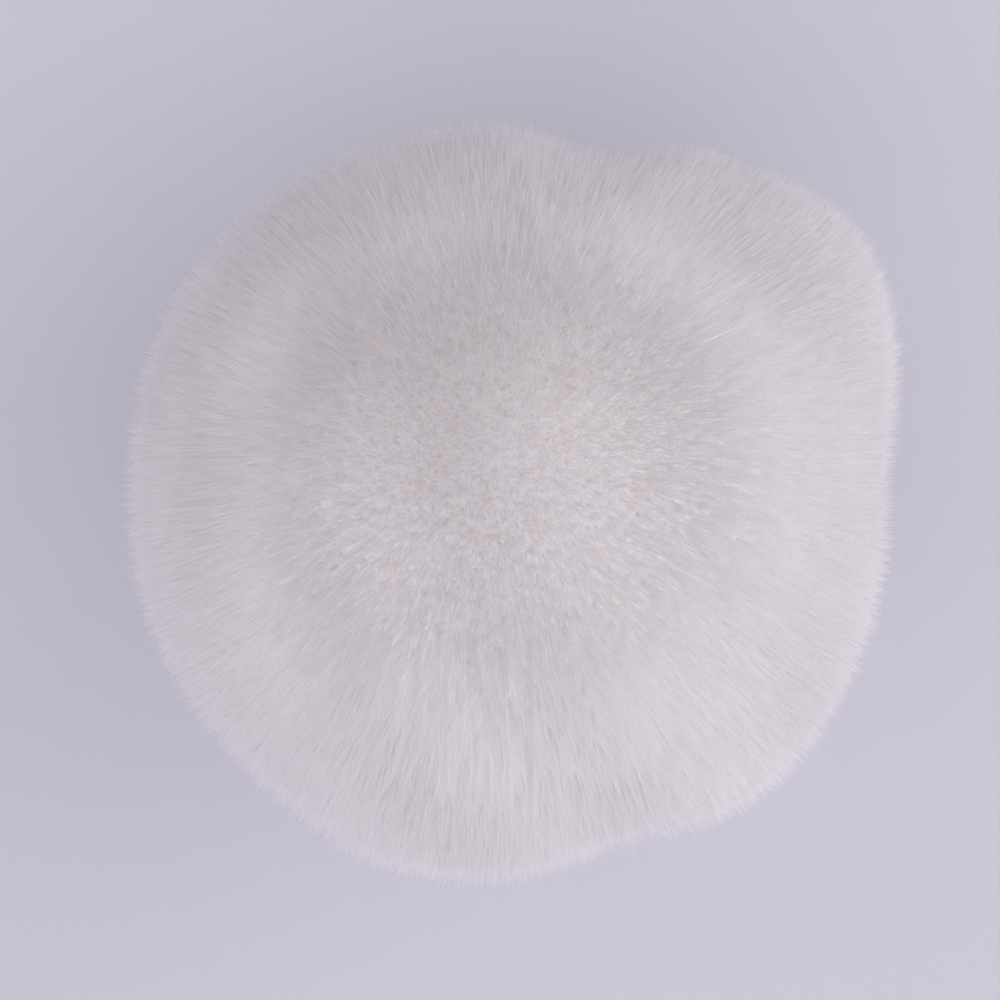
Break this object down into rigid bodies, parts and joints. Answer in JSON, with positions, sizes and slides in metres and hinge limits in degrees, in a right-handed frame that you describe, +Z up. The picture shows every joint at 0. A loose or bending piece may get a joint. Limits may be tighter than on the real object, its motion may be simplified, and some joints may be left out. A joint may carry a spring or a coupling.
{
  "type": "pom pom",
  "caption": "Soft ball-shaped pom pom of long white fur, parted on top and flattened a little where it rests on a table.",
  "frame": {"origin": "middle of the bounding box in plan, at the level of the flat spot it rests on", "axes": "+Z up from the table, +X towards the right of the picture and +Y towards its top"},
  "size_m": [0.13, 0.126, 0.106],
  "materials": {
    "fur": "long, soft, dense pile with a low sheen"
  },
  "bodies": {
    "root": {"pom_pom": "fur"}
  },
  "joints": []
}
